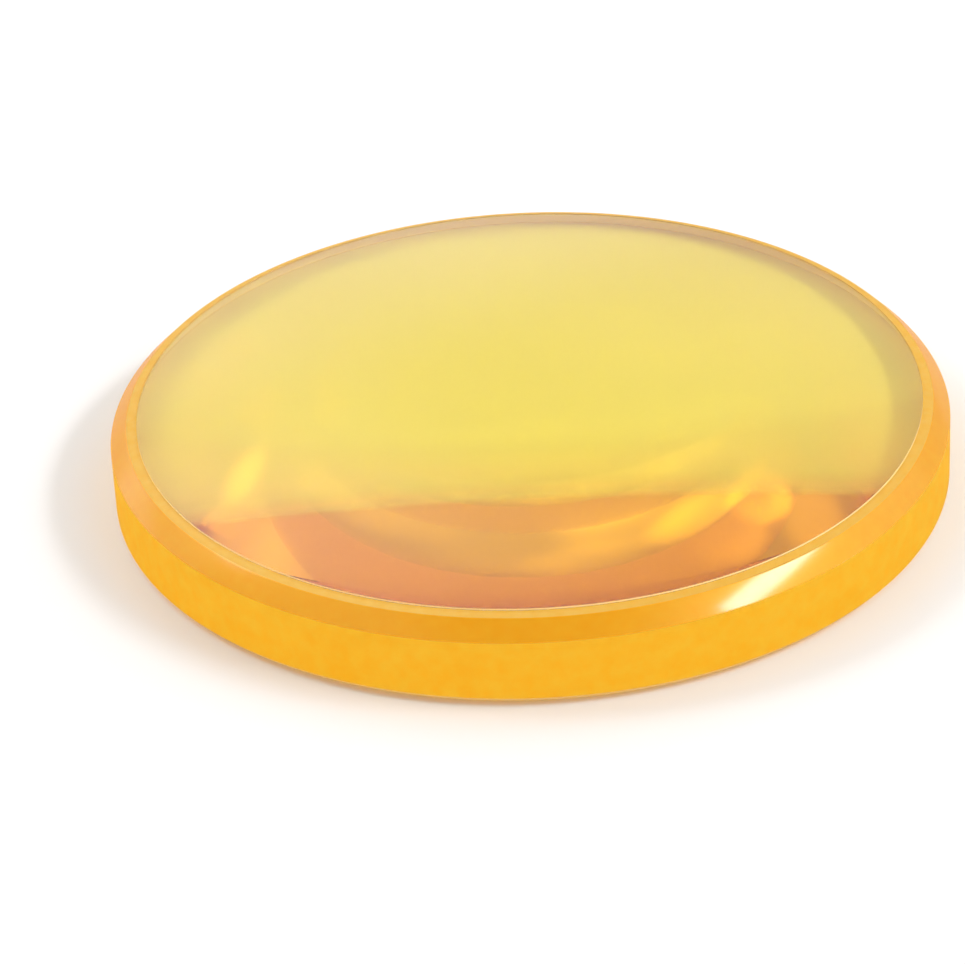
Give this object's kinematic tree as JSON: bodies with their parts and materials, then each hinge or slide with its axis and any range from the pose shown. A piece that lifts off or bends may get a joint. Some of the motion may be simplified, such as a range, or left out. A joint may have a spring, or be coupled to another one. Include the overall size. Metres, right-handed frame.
{
  "type": "laser focusing lens",
  "caption": "Round plano-convex zinc selenide lens with a ground bevelled edge and an anti-reflection film on its domed front and flat rear faces.",
  "frame": {"origin": "centre of the coated flat rear face, the surface the lens rests on", "axes": "+Z along the optical axis, out of the convex front face; X and Y are any two directions across the lens, which is a turned shape"},
  "size_m": [0.02, 0.02, 0.0028],
  "materials": {
    "zinc_selenide": "amber-yellow crystal, polished faces, fine-ground edge and bevels",
    "front_coating_film": "polished, yellow to pink interference colour",
    "rear_coating_film": "polished, yellow to pink interference colour"
  },
  "bodies": {
    "root": {"lens_substrate": "zinc_selenide", "front_ar_coating": "front_coating_film", "rear_ar_coating": "rear_coating_film"}
  },
  "joints": []
}
